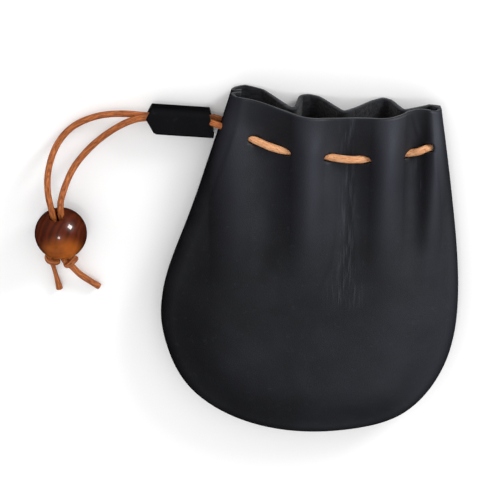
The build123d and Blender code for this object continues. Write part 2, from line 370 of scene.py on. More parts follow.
def mottle_effect() -> bpy.types.NodeTree:
    """Uneven dye: broad soft patches, and small faint scuffs over them."""
    graph, vector, scale, out = EffectGroup(Effect.MOTTLE, ("Patches", "Scuffs")).begin()
    broad = graph.noise(vector, scale, 4.0, 0.55)
    fine = graph.noise(vector, graph.math("MULTIPLY", scale, 14.0), 6.0, 0.7)
    graph.feed(out, {"Patches": graph.spread(broad, 0.32, 0.68), "Scuffs": graph.spread(fine, 0.56, 0.74)})
    return graph.tree


def fibre_effect() -> bpy.types.NodeTree:
    """Fibres drawn out along the first coordinate, and short dark pits among them."""
    graph, vector, scale, out = EffectGroup(Effect.FIBRE, ("Streaks", "Pits")).begin()
    streaks = graph.noise(graph.stretched(vector, (0.16, 1.0, 1.0)), scale, 5.0, 0.6)
    pits = graph.noise(graph.stretched(vector, (0.45, 1.0, 1.0)), scale)
    graph.feed(out, {"Streaks": graph.spread(streaks, 0.3, 0.7), "Pits": graph.spread(pits, 0.57, 0.66)})
    return graph.tree


def dust_effect() -> bpy.types.NodeTree:
    """A thin scatter of light specks: small dots in about one cell out of six."""
    graph, vector, scale, out = EffectGroup(Effect.DUST, ("Specks",)).begin()
    dots = graph.add("TexVoronoi", {"Vector": vector, "Scale": scale, "Randomness": 1.0}, feature="F1")
    dots = dots.outputs
    chosen = graph.spread(graph.add("SeparateColor", {0: dots["Color"]}).outputs[0], 0.8, 0.86)
    graph.feed(out, {"Specks": graph.math("MULTIPLY", graph.spread(dots["Distance"], 0.1, 0.02), chosen)})
    return graph.tree


EFFECT_MAKERS = {
    Effect.GRAIN: grain_effect,
    Effect.MOTTLE: mottle_effect,
    Effect.FIBRE: fibre_effect,
    Effect.DUST: dust_effect,
}


def effect_of(graph: Graph, effect: Effect, vector: object, scale: float) -> bpy.types.NodeOutputs:
    """The outputs of a material's own copy of a shared effect, which is built when it is first asked for."""
    tree = bpy.data.node_groups.get(effect.value) or EFFECT_MAKERS[effect]()
    node = graph.add("Group", node_tree=tree)
    return graph.feed(node, {"Vector": vector, "Scale": scale}).outputs


@dataclass(frozen=True)
class Finish:
    """A finish that a piece is dressed in."""

    name: str

    def start(self) -> tuple[bpy.types.Material, Graph, bpy.types.Node]:
        """A material with a Principled shader, its graph and the shader."""
        material = bpy.data.materials.new(self.name)
        material.use_nodes = True
        material.node_tree.nodes.clear()
        graph = Graph(material.node_tree)
        shader = graph.add("BsdfPrincipled")
        graph.add("OutputMaterial", {0: shader.outputs[0]})
        return material, graph, shader

    @staticmethod
    def bump(graph: Graph, height: object, depth: float) -> Socket:
        """The surface's direction once it is raised by a height from 0 to 1 times a depth in millimetres."""
        return graph.add("Bump", {"Height": height, "Strength": 1.0, "Distance": depth * MM}).outputs[0]


@dataclass(frozen=True)
class GrainLeather(Finish):
    """Smooth dark leather seen from its grain side, with faint grain, uneven dye, fine wrinkles and a painted
    highlight that lightens the crests of its gathers.
    """

    deep: Colour = (14, 14, 19)
    # The lighter colour, for the dye's random patches and for the painted highlight on the gathers' crests.
    worn_and_lit: Colour = (36, 37, 47)
    scuff: Colour = (58, 61, 69)
    patches: float = 0.4
    crest_highlight: float = 0.85
    scuffs: float = 0.14
    specks: float = 0.35
    ridges: float = 0.5
    gloss: float = 0.3
    rough: float = 0.6
    hollow_rough: float = 0.28
    ridge_rise: float = 3.4
    depth: float = 0.04

    def material(self) -> bpy.types.Material:
        """The leather's material. It reads each point's place in the gathers, and where fine wrinkles lie,
        and paints the gathers' crests lighter as a highlight.
        """
        material, graph, shader = self.start()
        place = graph.place()
        grain = effect_of(graph, Effect.GRAIN, place, 1100.0)["Height"]
        mottle = effect_of(graph, Effect.MOTTLE, place, 26.0)
        dust = effect_of(graph, Effect.DUST, place, 330.0)["Specks"]
        wave = graph.add("Attribute", attribute_name="gather").outputs["Fac"]
        wrinkle = graph.add("Attribute", attribute_name="wrinkle").outputs["Fac"]
        crest = graph.math("MAXIMUM", wave, 0.0)
        hollow = graph.math("MAXIMUM", graph.math("MULTIPLY", wave, -1.0), 0.0)
        folds = graph.noise(graph.stretched(place, (900.0, 95.0, 300.0)), 1.0, 4.0, 0.55)
        ridges = graph.math("MULTIPLY", graph.spread(folds, 0.45, 0.72), wrinkle)
        base = graph.tint(linear(*self.deep), mottle["Patches"], self.patches, self.worn_and_lit)
        # Painted highlight: the crests of the gathers are lightened, as if the light caught them.
        base = graph.tint(base, crest, self.crest_highlight, self.worn_and_lit)
        base = graph.tint(base, mottle["Scuffs"], self.scuffs, self.scuff)
        base = graph.tint(base, dust, self.specks, self.scuff)
        base = graph.tint(base, ridges, self.ridges, self.scuff)
        rough = graph.spread(mottle["Patches"], 0.0, 1.0, self.rough + 0.07, self.rough - 0.05)
        height = graph.math("MULTIPLY_ADD", ridges, self.ridge_rise, grain)
        graph.feed(shader, {
            "Base Color": base,
            "Roughness": graph.math("MULTIPLY_ADD", hollow, self.hollow_rough, rough),
            "Specular IOR Level": self.gloss,
            "Normal": self.bump(graph, height, self.depth),
        })
        return material


@dataclass(frozen=True)
class FleshLeather(Finish):
    """The brushed flesh side of the leather, and its raw cut edge."""

    deep: Colour = (12, 12, 14)
    light: Colour = (42, 43, 47)
    depth: float = 0.16

    def material(self) -> bpy.types.Material:
        """The flesh side's material."""
        material, graph, shader = self.start()
        place = graph.place()
        streaks = effect_of(graph, Effect.FIBRE, place, 900.0)["Streaks"]
        patches = effect_of(graph, Effect.MOTTLE, place, 60.0)["Patches"]
        share = graph.math("MULTIPLY_ADD", streaks, 0.5, graph.math("MULTIPLY", patches, 0.35))
        graph.feed(shader, {
            "Base Color": graph.mix(share, linear(*self.deep), linear(*self.light)),
            "Roughness": graph.spread(streaks, 0.0, 1.0, 0.95, 0.8),
            "Specular IOR Level": 0.15,
            "Sheen Weight": 0.12,
            "Normal": self.bump(graph, streaks, self.depth),
        })
        return material


@dataclass(frozen=True)
class LaceLeather(Finish):
    """A round leather lace, with fibres along it and darker pits."""

    light: Colour = (234, 180, 134)
    deep: Colour = (198, 132, 86)
    pit: Colour = (140, 78, 42)
    pits: float = 0.5

    def material(self) -> bpy.types.Material:
        """The lace's material, which follows its own UV map."""
        material, graph, shader = self.start()
        place = graph.add("UVMap", uv_map="along").outputs["UV"]
        fibre = effect_of(graph, Effect.FIBRE, place, 16.0)
        patches = effect_of(graph, Effect.MOTTLE, place, 2.2)["Patches"]
        base = graph.mix(fibre["Streaks"], linear(*self.deep), linear(*self.light))
        base = graph.tint(base, patches, 0.35, self.deep)
        height = graph.math("SUBTRACT", fibre["Streaks"], fibre["Pits"])
        graph.feed(shader, {
            "Base Color": graph.tint(base, fibre["Pits"], self.pits, self.pit),
            "Roughness": graph.spread(fibre["Streaks"], 0.0, 1.0, 0.62, 0.5),
            "Specular IOR Level": 0.35,
            "Normal": self.bump(graph, height, 0.1),
        })
        return material


@dataclass(frozen=True)
class LacqueredWood(Finish):
    """Stained wood under clear lacquer, with rings across the bore and a painted amber glow of light on its
    lower middle.
    """

    dark: Colour = (46, 17, 6)
    red: Colour = (94, 34, 9)
    amber: Colour = (206, 108, 22)
    centre: Point = BEAD_MIDDLE
    turn: Point = (0.5, 0.25, 0.3)
    # Where the painted glow of light is brightest, and the distances over which it fades.
    glow_spot: Point = (0.9, -5.2, 6.4)
    glow_reach: Flat = (0.0098, 0.0036)

    def material(self) -> bpy.types.Material:
        """The bead's material."""
        material, graph, shader = self.start()
        centred = graph.vector("ADD", graph.place(), tuple(-value * MM for value in self.centre))
        turned = graph.add("Mapping", {"Vector": centred, "Rotation": self.turn}).outputs["Vector"]
        drawn = graph.stretched(turned, (1.0, 0.22, 1.0))
        waves = {"Vector": drawn, "Scale": 120.0, "Distortion": 9.0, "Detail": 4.0, "Detail Scale": 1.6}
        rings = graph.add("TexWave", waves, wave_type="BANDS", bands_direction="X").outputs["Fac"]
        streaks = effect_of(graph, Effect.FIBRE, drawn, 420.0)["Streaks"]
        cloud = graph.spread(graph.noise(centred, 75.0, 3.0, 0.6), 0.3, 0.62, 0.4, 1.0)
        away = graph.vector("DISTANCE", centred, tuple(value * MM for value in self.glow_spot), 1)
        # Painted glow: amber light painted into the wood's colour round one spot on the lower middle.
        painted_glow = graph.math("MULTIPLY", cloud, graph.spread(away, *self.glow_reach))
        base = graph.mix(graph.spread(rings, -0.9, 1.1), linear(*self.dark), linear(*self.red))
        base = graph.tint(base, painted_glow, 0.85, self.amber)
        graph.feed(shader, {
            "Base Color": graph.tint(base, streaks, 0.25, self.dark),
            "Roughness": graph.spread(streaks, 0.0, 1.0, 0.4, 0.28),
            "Coat Weight": 1.0,
            "Coat Roughness": 0.03,
            "Specular IOR Level": 0.4,
            "Normal": self.bump(graph, streaks, 0.02),
        })
        return material


@dataclass(frozen=True)
class WaxedThread(Finish):
    """Black waxed thread with a fine twist."""

    deep: Colour = (14, 14, 16)
    light: Colour = (52, 53, 58)

    def material(self) -> bpy.types.Material:
        """The thread's material."""
        material, graph, shader = self.start()
        streaks = effect_of(graph, Effect.FIBRE, graph.place(), 2400.0)["Streaks"]
        graph.feed(shader, {
            "Base Color": graph.mix(streaks, linear(*self.deep), linear(*self.light)),
            "Roughness": graph.spread(streaks, 0.0, 1.0, 0.6, 0.45),
            "Normal": self.bump(graph, streaks, 0.05),
        })
        return material


@dataclass(frozen=True)
class Backdrop(Finish):
    """Plain pale paper."""

    paper: Colour = (250, 250, 250)
    shade: Colour = (248, 248, 248)

    def material(self) -> bpy.types.Material:
        """The paper's material."""
        material, graph, shader = self.start()
        tone = graph.mix(graph.noise(graph.place(), 3.0), linear(*self.paper), linear(*self.shade))
        graph.feed(shader, {"Base Color": tone, "Roughness": 1.0, "Specular IOR Level": 0.0})
        return material


# ---------------------------------------------------------------- the bag


@dataclass
class BagPlan:
    """The bag's plan: the seam line, the mouth's edge and the line of cord holes."""

    outline: tuple[Flat, ...] = (
        (-30.2, 72.0), (-37.8, 49.4), (-47.7, 20.0), (-55.3, -1.0), (-58.2, -17.0), (-55.6, -34.0),
        (-48.0, -50.5), (-32.0, -64.5), (-8.0, -72.2), (18.0, -71.6), (38.0, -64.6), (50.2, -50.0),
        (57.2, -29.0), (58.1, -6.0), (54.4, 28.0), (48.2, 66.6),
    )
    mouth_middle: Flat = (10.0, 66.4)
    spine_end: Flat = (-1.0, -26.0)
    holes: tuple[Flat, ...] = (
        (-23.5, 57.8), (-8.3, 53.0), (4.6, 51.8), (21.3, 50.6), (34.3, 51.4), (42.3, 52.6),
    )
    columns: int = 381
    past_ends: float = 40.0
    turn_reach: float = 14.0
    seam: Array = field(init=False)
    coarse: Array = field(init=False)

    def __post_init__(self) -> None:
        """Works out the seam line once, and a coarser one that goes straight on past its ends."""
        self.seam = smooth_line(np.array(self.outline), self.columns)
        line = smooth_line(np.array(self.outline), 200)
        ways = np.array([line[0] - line[1], line[-1] - line[-2]])
        ends = line[[0, -1]] + ways / np.linalg.norm(ways, axis=1)[:, None] * self.past_ends
        self.coarse = np.vstack([ends[0], line, ends[1]])

    def mouth_arc(self, count: int) -> tuple[Array, Array]:
        """The mouth's edge from each end to its middle.

        The edge is the circle through its two ends and its middle point.

        Args:
            count: How many points on each half.

        Returns:
            The left half and the right half, one point to a row.
        """
        left, middle, right = np.array([self.outline[0], self.mouth_middle, self.outline[-1]])
        matrix = 2.0 * np.array([middle - left, right - middle])
        squares = np.array([middle @ middle - left @ left, right @ right - middle @ middle])
        centre = np.linalg.solve(matrix, squares)
        radius = np.linalg.norm(left - centre)
        angles = [math.atan2(*(point - centre)[::-1]) for point in (left, middle, right)]
        halves = [np.linspace(angles[0], angles[1], count), np.linspace(angles[2], angles[1], count)]
        return tuple(centre + radius * np.stack([np.cos(half), np.sin(half)], axis=-1) for half in halves)

    def inward(self) -> Array:
        """The way into the bag at each column: square to the seam, and along the mouth's edge at its ends."""
        along = np.gradient(self.seam, axis=0)
        square = np.stack([-along[:, 1], along[:, 0]], axis=-1)
        square = square / np.linalg.norm(square, axis=1)[:, None]
        left, right = self.mouth_arc(40)
        steps = np.arange(self.columns) * np.linalg.norm(self.seam[1] - self.seam[0])
        for rim, far in ((left, steps), (right, steps[::-1])):
            way = (rim[1] - rim[0]) / np.linalg.norm(rim[1] - rim[0])
            share = np.exp(-((far / self.turn_reach) ** 2))[:, None]
            square = square * (1.0 - share) + way * share
        return square / np.linalg.norm(square, axis=1)[:, None]

    def distance(self, x: Array, y: Array) -> Array:
        """Distance in plan from the seam line."""
        return segment_distance(x, y, self.coarse)[0]

    def hole_wave(self, x: Array) -> Array:
        """The gathers' wave, minus the sine of half turns: 0 at each hole, -1 in a hollow, +1 on a crest."""
        across = [hole[0] for hole in self.holes]
        first, last = 2.0 * across[0] - across[1], 2.0 * across[-1] - across[-2]
        return -np.sin(math.pi * np.interp(x, [first, *across, last], np.arange(-1, len(across) + 1)))

    def cord_line(self, x: Array) -> Array:
        """Where the line of holes runs across the bag."""
        return np.interp(x, [hole[0] for hole in self.holes], [hole[1] for hole in self.holes])

    def rim_line(self, x: Array) -> Array:
        """Where the mouth's edge runs across the bag."""
        left, right = self.mouth_arc(40)
        line = np.vstack([left, right[::-1]])
        return np.interp(x, line[:, 0], line[:, 1])


class Side(Enum):
    """Which panel of the bag."""

    FRONT = 1.0
    BACK = -1.0


@dataclass
class Crease:
    """One crease or ridge pressed into a panel."""

    line: tuple[Flat, ...]
    width: float
    rise: float

    def height(self, x: Array, y: Array) -> Array:
        """Rise times a bell of the distance from the crease over its width, fading towards both ends."""
        distance, share = segment_distance(x, y, np.array(self.line))
        fade = np.sin(math.pi * np.clip(share, 0.02, 0.98)) ** 0.5
        return self.rise * np.exp(-((distance / self.width) ** 2)) * fade


@dataclass
class Panel:
    """One leather panel of the bag, from its sewn allowance over its rolled edge to its middle."""

    plan: BagPlan
    side: Side
    name: str
    node: str
    flat: Flat
    area: float
    edge: tuple[Flat, ...] = (
        (4.0, 0.04), (2.6, 0.06), (1.4, 0.25), (0.5, 0.9), (0.1, 2.2), (0.45, 3.7), (1.4, 5.3), (2.8, 6.35),
        (4.4, 6.99),
    )
    edge_rings: int = 17
    inner_rings: int = 98
    hole_size: Flat = (2.7, 1.65)
    holes: tuple[Flat, ...] = ()
    creases: tuple[Crease, ...] = ()
    rim_push: tuple[Flat, ...] = ((0.0, 0.0),)
    rim_folds: tuple[Flat, ...] = ((0.0, 0.0),)
    foot_push: float = 1.9
    belly_rise: float = 6.8
    belly_width: float = 16.0
    edge_rise: float = 6.5
    flute_start: float = -12.0
    flute: float = 3.2
    rim_flute: float = 1.6
    swell: Flat = (0.5, 27.0)
    ripple: Flat = (0.14, 9.0)
    back_lift: float = 2.95
    back_settle: float = 0.6
    back_ripple: Flat = (0.12, 12.0)
    wrinkles_at: Flat = (13.2, 40.0)

    def plan_grid(self) -> tuple[Array, Array]:
        """The plan of every point of the panel, and the profile's rise for the edge rings.

        The edge rings lie inside the seam line by the profile's distances. The inner rings divide straight
        lines from the last edge ring to a spine up the middle, and near the mouth they bow with its edge.

        Returns:
            Points as rings by columns by two, and the rise of each edge ring.
        """
        profile = smooth_line(np.array(self.edge), self.edge_rings)
        inward = self.plan.inward()
        edge = self.plan.seam[None] + inward[None] * profile[:, 0][:, None, None]
        columns = self.plan.columns
        place = np.linspace(0.0, 1.0, columns)
        down = np.sin(0.5 * math.pi * (1.0 - np.abs(2.0 * place - 1.0)))[:, None]
        spine = np.array(self.plan.mouth_middle) * (1.0 - down) + np.array(self.plan.spine_end) * down
        share = np.linspace(0.0, 1.0, self.inner_rings + 1)[1:, None, None]
        inner = edge[-1][None] * (1.0 - share) + spine[None] * share
        for half, column in zip(self.plan.mouth_arc(400), (0, columns - 1)):
            first = np.linalg.norm(half - half[0], axis=1).searchsorted(profile[-1, 0])
            rim = even_steps(half[first:], self.inner_rings + 1)[1:]
            fade = 1.0 - smooth_step(np.abs(place - place[column]), 0.0, 0.13)
            inner = inner + (rim - inner[:, column])[:, None, :] * fade[None, :, None]
        return np.concatenate([edge, inner]), profile[:, 1]

    def height(self, x: Array, y: Array) -> Array:
        """Height of the panel's outer face: see front_height and back_height."""
        return self.front_height(x, y) if self.side is Side.FRONT else self.back_height(x, y)

    def flute_strength(self, x: Array, y: Array, distance: Array) -> Array:
        """How strongly the gathers show: rising from their start to the cord, and fading at the seam."""
        rising = smooth_step(y, self.flute_start, self.plan.cord_line(x))
        return rising * smooth_step(distance, 0.0, 6.0)

    def front_height(self, x: Array, y: Array) -> Array:
        """The front's outer face.

        It stands on the seam's height plus the edge's rise, plus a belly that grows with one minus a bell of
        the distance from the seam, plus the gathers' wave, plus slow noise and the creases.
        """
        distance = self.plan.distance(x, y)
        belly = self.belly_rise * (1.0 - np.exp(-((distance / self.belly_width) ** 2)))
        past = smooth_step(y, self.plan.cord_line(x), self.plan.mouth_middle[1])
        flute = self.flute + (self.rim_flute - self.flute) * past
        strength = self.flute_strength(x, y, distance)
        height = SEAM_HEIGHT + self.edge_rise + belly + flute * strength * self.plan.hole_wave(x)
        inside = smooth_step(distance, 2.0, 16.0)
        slow = self.swell[0] * soft_noise(x, y, self.swell[1], 3)
        height = height + inside * (slow + self.ripple[0] * soft_noise(x, y, self.ripple[1], 4))
        for crease in self.creases:
            height = height + crease.height(x, y) * smooth_step(distance, 1.0, 6.0)
        return height

    def back_height(self, x: Array, y: Array) -> Array:
        """The back's outer face above the floor.

        Near the cord it lifts by the gathers' wave. From the cord to the mouth it turns into the folds of its
        rim, whose heights across the bag are a smoothed line.
        """
        distance = self.plan.distance(x, y)
        wave = self.flute_strength(x, y, distance) * (1.0 - self.plan.hole_wave(x))
        lift = self.back_lift * wave - self.back_settle * smooth_step(distance, 2.0, 8.0)
        past = smooth_step(y, self.plan.cord_line(x) - 1.0, self.plan.rim_line(x) + 2.0)
        fold = smooth_table(x, self.rim_folds, 1.6) * smooth_step(distance, 0.0, 5.0)
        height = np.maximum(lift, OFF_FLOOR) * (1.0 - past) + fold * past
        rise, size = self.back_ripple
        uneven = rise * smooth_step(distance, 6.0, 20.0) * (soft_noise(x, y, size, 8) + 1.0)
        return np.maximum(height + uneven, OFF_FLOOR)

    def cut_holes(self, grid: Array, faces: Array) -> tuple[Array, Array]:
        """Punches the cord's holes.

        A face whose middle lies inside a hole's ellipse is dropped, and the points left round it move out
        along their own direction on to the ellipse.

        Args:
            grid: The plan of every point, one to a row.
            faces: The panel's faces.

        Returns:
            The moved points and the faces that stay.
        """
        keep = np.ones(len(faces), bool)
        grid = grid.copy()
        across, up = np.array(self.holes).T
        for (x, y), rise in zip(self.holes, np.gradient(up, across)):
            way = np.array([1.0, rise]) / math.hypot(1.0, rise)
            axes = np.stack([way / self.hole_size[0], np.array([-way[1], way[0]]) / self.hole_size[1]])
            local = (grid - (x, y)) @ axes.T
            middle = local[faces].mean(axis=1)
            inside = np.linalg.norm(middle, axis=1) < 1.0
            edge = np.intersect1d(faces[inside & keep], faces[~inside & keep])
            local[edge] /= np.linalg.norm(local[edge], axis=1)[:, None]
            grid[edge] = local[edge] @ np.linalg.inv(axes).T + (x, y)
            keep &= ~inside
        return grid, faces[keep]

    def build(self) -> bpy.types.Object:
        """The panel as one skin of leather, given its thickness inwards by a modifier."""
        plan, rise = self.plan_grid()
        rings, columns = plan.shape[:2]
        faces = grid_faces(rings, columns)
        twin = np.arange(rings * columns)
        last = (rings - 1) * columns
        half = columns // 2
        twin[last + half + 1 :] = last + np.arange(half)[::-1]
        faces = twin[faces]
        flat, faces = self.cut_holes(plan.reshape(-1, 2), faces)
        x, y = flat[:, 0], flat[:, 1]
        z = self.height(x, y)
        edge = len(rise) * columns
        top = np.repeat(rise / rise[-1], columns)
        full = np.tile(z[edge - columns : edge], len(rise))
        seam = SEAM_HEIGHT + self.side.value * rise[0]
        z[:edge] = seam + (full - seam) * (top - top[0]) / (top[-1] - top[0])
        push = smooth_table(x, self.rim_push, 3.5)
        near_rim = smooth_step(y, self.plan.cord_line(x) + 2.0, self.plan.rim_line(x) + 1.0)
        foot = self.foot_push * smooth_step(-y, 35.0, 73.0)
        points = np.stack([x, y + push * near_rim + foot, z], axis=-1)
        used, faces = np.unique(faces, return_inverse=True)
        faces = faces.reshape(-1, 4)
        points = points[used]
        first = points[faces[len(faces) // 2]]
        up = np.cross(first[1] - first[0], first[2] - first[0])[2]
        if up * self.side.value < 0:
            faces = faces[:, ::-1]
        piece = new_piece(self.name, points, faces)
        self.add_masks(piece, points)
        thicken(piece, LEATHER)
        return piece

    def add_masks(self, piece: bpy.types.Object, points: Array) -> None:
        """Marks the front's gathers, -1 in a hollow and +1 on a crest, and its two bands of fine wrinkles."""
        x, y = points[:, 0], points[:, 1]
        strength = smooth_step(y, self.flute_start, self.plan.cord_line(x))
        front = float(self.side is Side.FRONT)
        add_mask(piece, "gather", front * strength * self.plan.hole_wave(x))
        middle, right = self.wrinkles_at
        spread = 2.6 + 3.2 * smooth_step(y, 14.0, -10.0)
        band = np.exp(-(((x - middle) / spread) ** 2)) * smooth_step(y, -14.0, -4.0)
        short = smooth_step(y, 32.0, 38.0) * (1.0 - smooth_step(y, 46.0, 52.0))
        short = 0.7 * np.exp(-(((x - right) / 2.6) ** 2)) * short
        add_mask(piece, "wrinkle", front * np.clip(band + short, 0.0, 1.0))

    def make(self, *finishes: bpy.types.Material) -> bpy.types.Object:
        """The panel with its grain, flesh and edge finishes."""
        piece = self.build()
        dress(piece, "bag", self.node, "dark_leather", *finishes)
        return piece


# ---------------------------------------------------------------- cords


@dataclass
class Route:
    """A cord's way, as a smooth spline steered by given points."""

    name: str
    points: tuple[Point, ...]
    order: int = 3

    def line(self, step: float = 0.4) -> Array:
        """The spline's own points, equally spaced, in millimetres."""
        curve = bpy.data.curves.new(self.name + "_route", "CURVE")
        curve.dimensions = "3D"
        curve.resolution_u = 24
        spline = curve.splines.new("NURBS")
        spline.points.add(len(self.points) - 1)
        steer = np.c_[np.array(self.points) * MM, np.ones(len(self.points))]
        spline.points.foreach_set("co", steer.astype(np.float32).ravel())
        spline.order_u = self.order
        spline.use_endpoint_u = True
        carrier = bpy.data.objects.new(self.name + "_route", curve)
        mesh = bpy.data.meshes.new_from_object(carrier)
        found = np.empty(3 * len(mesh.vertices), np.float32)
        mesh.vertices.foreach_get("co", found)
        line = found.reshape(-1, 3).astype(float) / MM
        bpy.data.objects.remove(carrier)
        bpy.data.curves.remove(curve)
        bpy.data.meshes.remove(mesh)
        length = np.linalg.norm(np.diff(line, axis=0), axis=1).sum()
        return even_steps(line, int(length / step) + 2)


@dataclass
class Lace:
    """A round leather lace carried along a line."""

    name: str
    line: Array
    widths: tuple[Flat, ...] = ((0.0, 1.0), (1.0, 1.0))
    around: int = 22
    seed: int = 1

    def frames(self) -> tuple[Array, Array]:
        """Two directions square to the line at each of its points, carried along it without twisting."""
        way = np.gradient(self.line, axis=0)
        way = way / np.linalg.norm(way, axis=1)[:, None]
        side = np.cross(way[0], (0.0, 0.0, 1.0))
        sides = [side / np.linalg.norm(side)]
        for ahead in way[1:]:
            side = sides[-1] - ahead * (sides[-1] @ ahead)
            sides.append(side / np.linalg.norm(side))
        first = np.array(sides)
        return first, np.cross(way, first)

    def build(self) -> bpy.types.Object:
        """The lace's mesh.

        Each ring stands square to the line. Its radius is half the cord's diameter, times a width that
        changes along the line, times one plus small noise round it. Each end closes on shrinking rings.
        """
        first, second = self.frames()
        count = len(self.line)
        share = np.linspace(0.0, 1.0, count)
        angle = np.linspace(0.0, 2.0 * math.pi, self.around, endpoint=False)
        along = share * np.linalg.norm(np.diff(self.line, axis=0), axis=1).sum()
        noise = soft_noise(along[:, None], 3.0 * np.cos(angle), 2.4, self.seed)
        noise = noise + soft_noise(along[:, None] + 90.0, 3.0 * np.sin(angle), 2.4, self.seed)
        width = np.interp(share, *np.array(self.widths).T)
        radius = (0.5 * CORD * width)[:, None] * (1.0 + 0.028 * noise)
        ring = np.cos(angle)[None, :, None] * first[:, None] + np.sin(angle)[None, :, None] * second[:, None]
        tube = self.line[:, None] + radius[..., None] * ring
        shrink = CAP_SHARES[:, None, None]
        start = self.line[0] + (tube[0] - self.line[0]) * shrink[::-1]
        end = self.line[-1] + (tube[-1] - self.line[-1]) * shrink
        points = np.concatenate([start, tube, end])
        faces = grid_faces(len(points), self.around, closed=True)
        piece = new_piece(self.name, points.reshape(-1, 3), faces, crisp=math.radians(50.0))
        self.map_along(piece, faces, np.pad(along, len(CAP_SHARES), mode="edge"))
        return piece

    def map_along(self, piece: bpy.types.Object, faces: Array, along: Array) -> None:
        """A UV map in centimetres: along the lace, and round it."""
        row, column = faces // self.around, faces % self.around
        last = column.max(axis=1, keepdims=True) == self.around - 1
        round_it = np.where((column == 0) & last, self.around, column) * (math.pi * CORD / self.around)
        add_uv(piece, "along", np.stack([along[row], round_it], axis=-1) / 10.0)


@dataclass
class BeadFrame:
    """Where the bead sits, and which way its bore runs."""

    middle: Point = BEAD_MIDDLE
    radius: float = 10.0
    rise: float = BORE_RISE
    turn: float = math.radians(6.0)

    def axes(self) -> tuple[Array, Array, Array]:
        """Across the bore, up from it, and along it towards the bag."""
        across = np.array([math.cos(self.turn), math.sin(self.turn), 0.0])
        level = np.array([-math.sin(self.turn), math.cos(self.turn), 0.0])
        along = level * math.cos(self.rise) + np.array([0.0, 0.0, math.sin(self.rise)])
        return across, np.cross(along, across), along

    def place(self, local: Array) -> Array:
        """Points of the bead's own frame in the row frame."""
        return np.array(self.middle) + local @ np.array(self.axes())


@dataclass
class Bead:
    """The wooden stop bead."""

    seat: BeadFrame
    bore: float = 2.8
    sink: float = 0.45
    around: int = 128

    def build(self) -> bpy.types.Object:
        """A ball with a bore, turned from one outline.

        The outline follows the ball's circle from one end of the bore to the other, rounds into the bore by a
        quarter turn, and comes back along the bore's wall.
        """
        mouth = self.bore + self.sink
        low = math.asin(mouth / self.seat.radius)
        ball = np.linspace(low, math.pi - low, 90)
        outer = self.seat.radius * np.stack([np.sin(ball), np.cos(ball)], axis=-1)
        corner = np.linspace(0.0, 0.5 * math.pi, 10)[1:]
        lip = outer[-1][1]
        turned = np.stack([mouth - self.sink * np.sin(corner), self.sink * (1.0 - np.cos(corner))], axis=-1)
        rounded = turned + (0.0, lip)
        inner_end = rounded[-1][1]
        wall = np.stack([np.full(12, self.bore), np.linspace(inner_end, -inner_end, 12)], axis=-1)[1:-1]
        outline = np.concatenate([outer, rounded, wall, (rounded * (1.0, -1.0))[::-1]])
        angle = np.linspace(0.0, 2.0 * math.pi, self.around, endpoint=False)
        radius, height = outline[:, 0][:, None], np.repeat(outline[:, 1][:, None], self.around, axis=1)
        local = np.stack([radius * np.cos(angle), radius * np.sin(angle), height], axis=-1)
        rows = len(outline)
        faces = grid_faces(rows + 1, self.around, closed=True) % (rows * self.around)
        return new_piece("bead_ball", self.seat.place(local.reshape(-1, 3)), faces[:, ::-1])


@dataclass
class Knot:
    """A tight overhand knot and its short cut tail."""

    name: str
    node: str
    seat: BeadFrame
    side: float
    middle: Point
    tail: tuple[Point, ...]
    lean: float
    widths: tuple[Flat, ...]
    rise: float = BORE_RISE
    tuck: float = 0.0
    unit: float = 2.2

    def route(self) -> Route:
        """The knot's way: down beside its middle, once round it while rising, and down through its turn."""
        start = (1.3 * self.side, 0.0, -8.6)
        core = np.array([(-0.3, 0.0, 0.9), (-0.35, 0.1, 0.1), (-0.45, -0.1, -0.75)])
        angle = np.radians(np.arange(215.0, 575.0, 45.0))
        climb = np.linspace(-0.75, 0.55, len(angle))
        turn = np.stack([1.02 * np.cos(angle), 0.86 * np.sin(angle), climb], axis=-1)
        tuck = np.array([(0.1, -0.35, 0.85), (0.38, 0.0, 0.35), (0.34, 0.05, -0.5), (0.3, 0.0, -1.2)])
        tuck[:, 0] += self.tuck * np.array([0.0, 0.3, 0.8, 1.0])
        local = np.concatenate([core, turn, tuck]) * (-1.0, 1.0, 1.0) * self.unit
        cos, sin = math.cos(self.lean), math.sin(self.lean)
        tilt = np.array([[cos, 0.0, sin], [0.0, 1.0, 0.0], [-sin, 0.0, cos]])
        own = BeadFrame(tuple(self.seat.place(np.array(self.middle))), rise=self.rise)
        placed = np.vstack([self.seat.place(np.array(start)), own.place(local @ tilt)])
        return Route(self.name, tuple(map(tuple, placed)) + self.tail, order=4)

    def build(self) -> bpy.types.Object:
        """The knot's lace."""
        return Lace(self.name, self.route().line(0.3), self.widths, seed=int(20 + self.side)).build()


